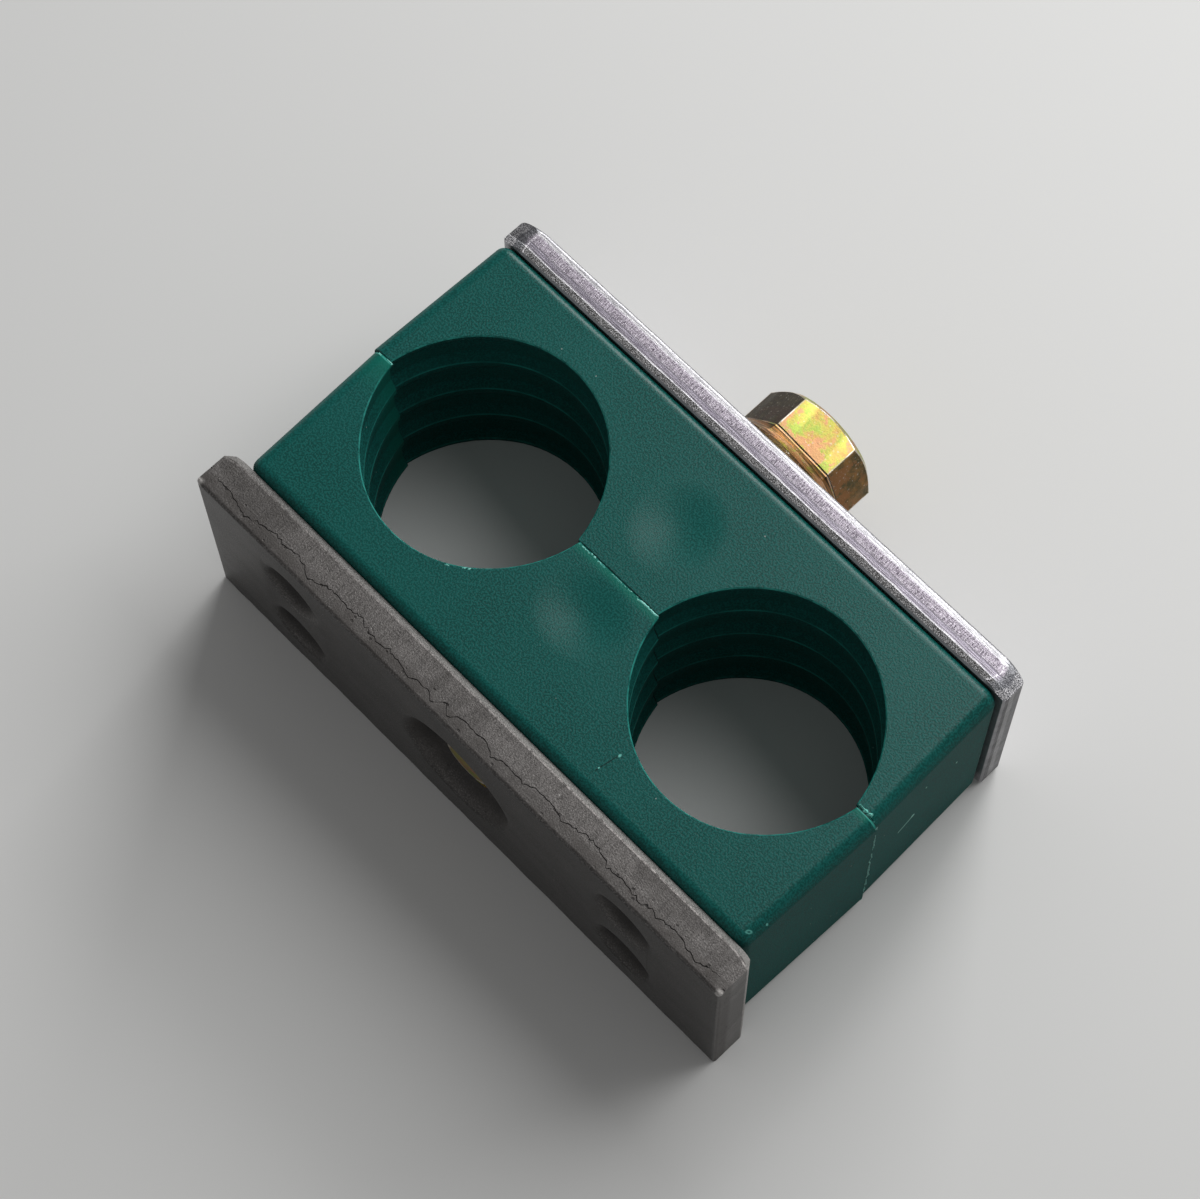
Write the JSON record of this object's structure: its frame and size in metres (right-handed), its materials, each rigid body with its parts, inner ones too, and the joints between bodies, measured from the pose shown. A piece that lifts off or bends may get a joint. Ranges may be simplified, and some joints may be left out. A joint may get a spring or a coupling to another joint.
{
  "type": "hydraulic tube clamp",
  "caption": "Twin clamp for hydraulic tubes: ribbed green plastic halves held between a stamped steel weld plate and a zinc-plated cover plate by a flanged hexagon screw.",
  "frame": {"origin": "bottom centre of the box around the whole clamp, which lies on its side with both tube bores upright", "axes": "+X along the clamp from one bore to the other, +Y along the bolt from the weld plate to the bolt head, +Z along the tube bores"},
  "size_m": [0.0866, 0.062, 0.03],
  "materials": {
    "bare_steel": "dull mill finish, sheared edges",
    "green_plastic": "moulded, fine satin grain",
    "bright_zinc": "bright zinc plating over sheared edges",
    "yellow_zinc": "yellow passivated zinc, iridescent"
  },
  "bodies": {
    "base": {"weld_plate": "bare_steel", "lower_clamp_half": "green_plastic"},
    "upper": {"upper_clamp_half": "green_plastic", "cover_plate": "bright_zinc"},
    "bolt": {"flange_bolt": "yellow_zinc"}
  },
  "joints": [
    {"name": "clamp_lift", "type": "slide", "parent": "base", "child": "upper", "axis": [0, 1, 0], "range_m": [0, 0.01055]},
    {"name": "bolt_turn", "type": "hinge", "parent": "upper", "child": "bolt", "pos_m": [0, 0.02085, 0.015], "axis": [0, 1, 0], "range_deg": [0, 2532]}
  ],
  "couplings": [
    {"joint": "bolt_turn", "follows": "clamp_lift", "rad_per_m": 4188.8}
  ]
}
